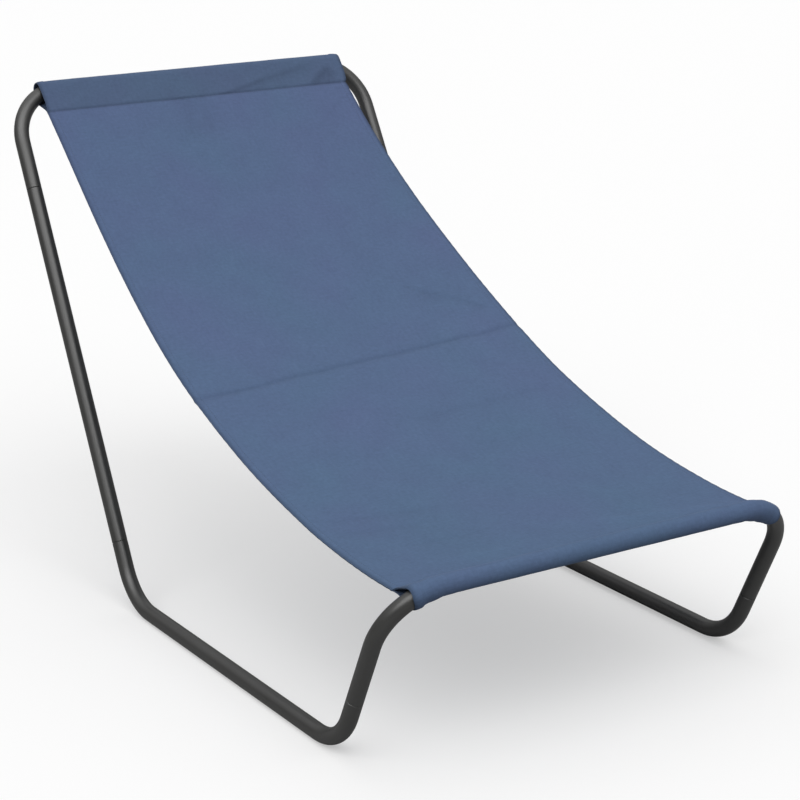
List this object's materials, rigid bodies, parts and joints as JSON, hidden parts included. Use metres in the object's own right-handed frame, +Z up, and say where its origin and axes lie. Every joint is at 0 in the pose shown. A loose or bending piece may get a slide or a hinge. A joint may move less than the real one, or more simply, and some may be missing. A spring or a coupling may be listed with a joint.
{
  "type": "beach chair",
  "caption": "Low sling beach chair: a dark round-tube frame with two ground runners and a reclined crossbar, and one blue canvas sling hung between the top and front bars.",
  "frame": {"origin": "on the ground, under the middle of the chair's bounding box", "axes": "+Z up; -Y is the front, where the sitter's legs point; +X is the right side seen from the front"},
  "size_m": [0.518, 0.8814, 0.5755],
  "materials": {
    "frame_coating": "semi-gloss dark grey powder coat on steel tube",
    "joint_steel": "zinc-plated steel sleeve",
    "sling_fabric": "matte slate-blue plain-weave canvas"
  },
  "bodies": {
    "base": {"runner_tube_left": "frame_coating", "runner_tube_right": "frame_coating", "rear_joint_sleeve_left": "joint_steel", "rear_joint_sleeve_right": "joint_steel", "front_joint_sleeve_left": "joint_steel", "front_joint_sleeve_right": "joint_steel", "sling_panel": "sling_fabric"},
    "upright_left": {"upright_tube_left": "frame_coating", "top_joint_sleeve_left": "joint_steel"},
    "upright_right": {"upright_tube_right": "frame_coating", "top_joint_sleeve_right": "joint_steel"},
    "top_frame": {"top_crossbar_tube": "frame_coating", "sling_top_pocket": "sling_fabric"},
    "front_frame": {"front_crossbar_tube": "frame_coating", "sling_front_pocket": "sling_fabric"}
  },
  "joints": [
    {"name": "upright_left_pull", "type": "slide", "parent": "base", "child": "upright_left", "axis": [0, 0.4773, 0.8787], "range_m": [0, 0.036]},
    {"name": "upright_right_pull", "type": "slide", "parent": "base", "child": "upright_right", "axis": [0, 0.4773, 0.8787], "range_m": [0, 0.036]},
    {"name": "top_frame_pull", "type": "slide", "parent": "upright_left", "child": "top_frame", "axis": [0, 0.4773, 0.8787], "range_m": [0, 0.036]},
    {"name": "front_frame_pull", "type": "slide", "parent": "base", "child": "front_frame", "axis": [0, -0.4415, 0.8973], "range_m": [0, 0.036]}
  ],
  "couplings": [
    {"joint": "upright_right_pull", "follows": "upright_left_pull", "ratio": 1}
  ]
}
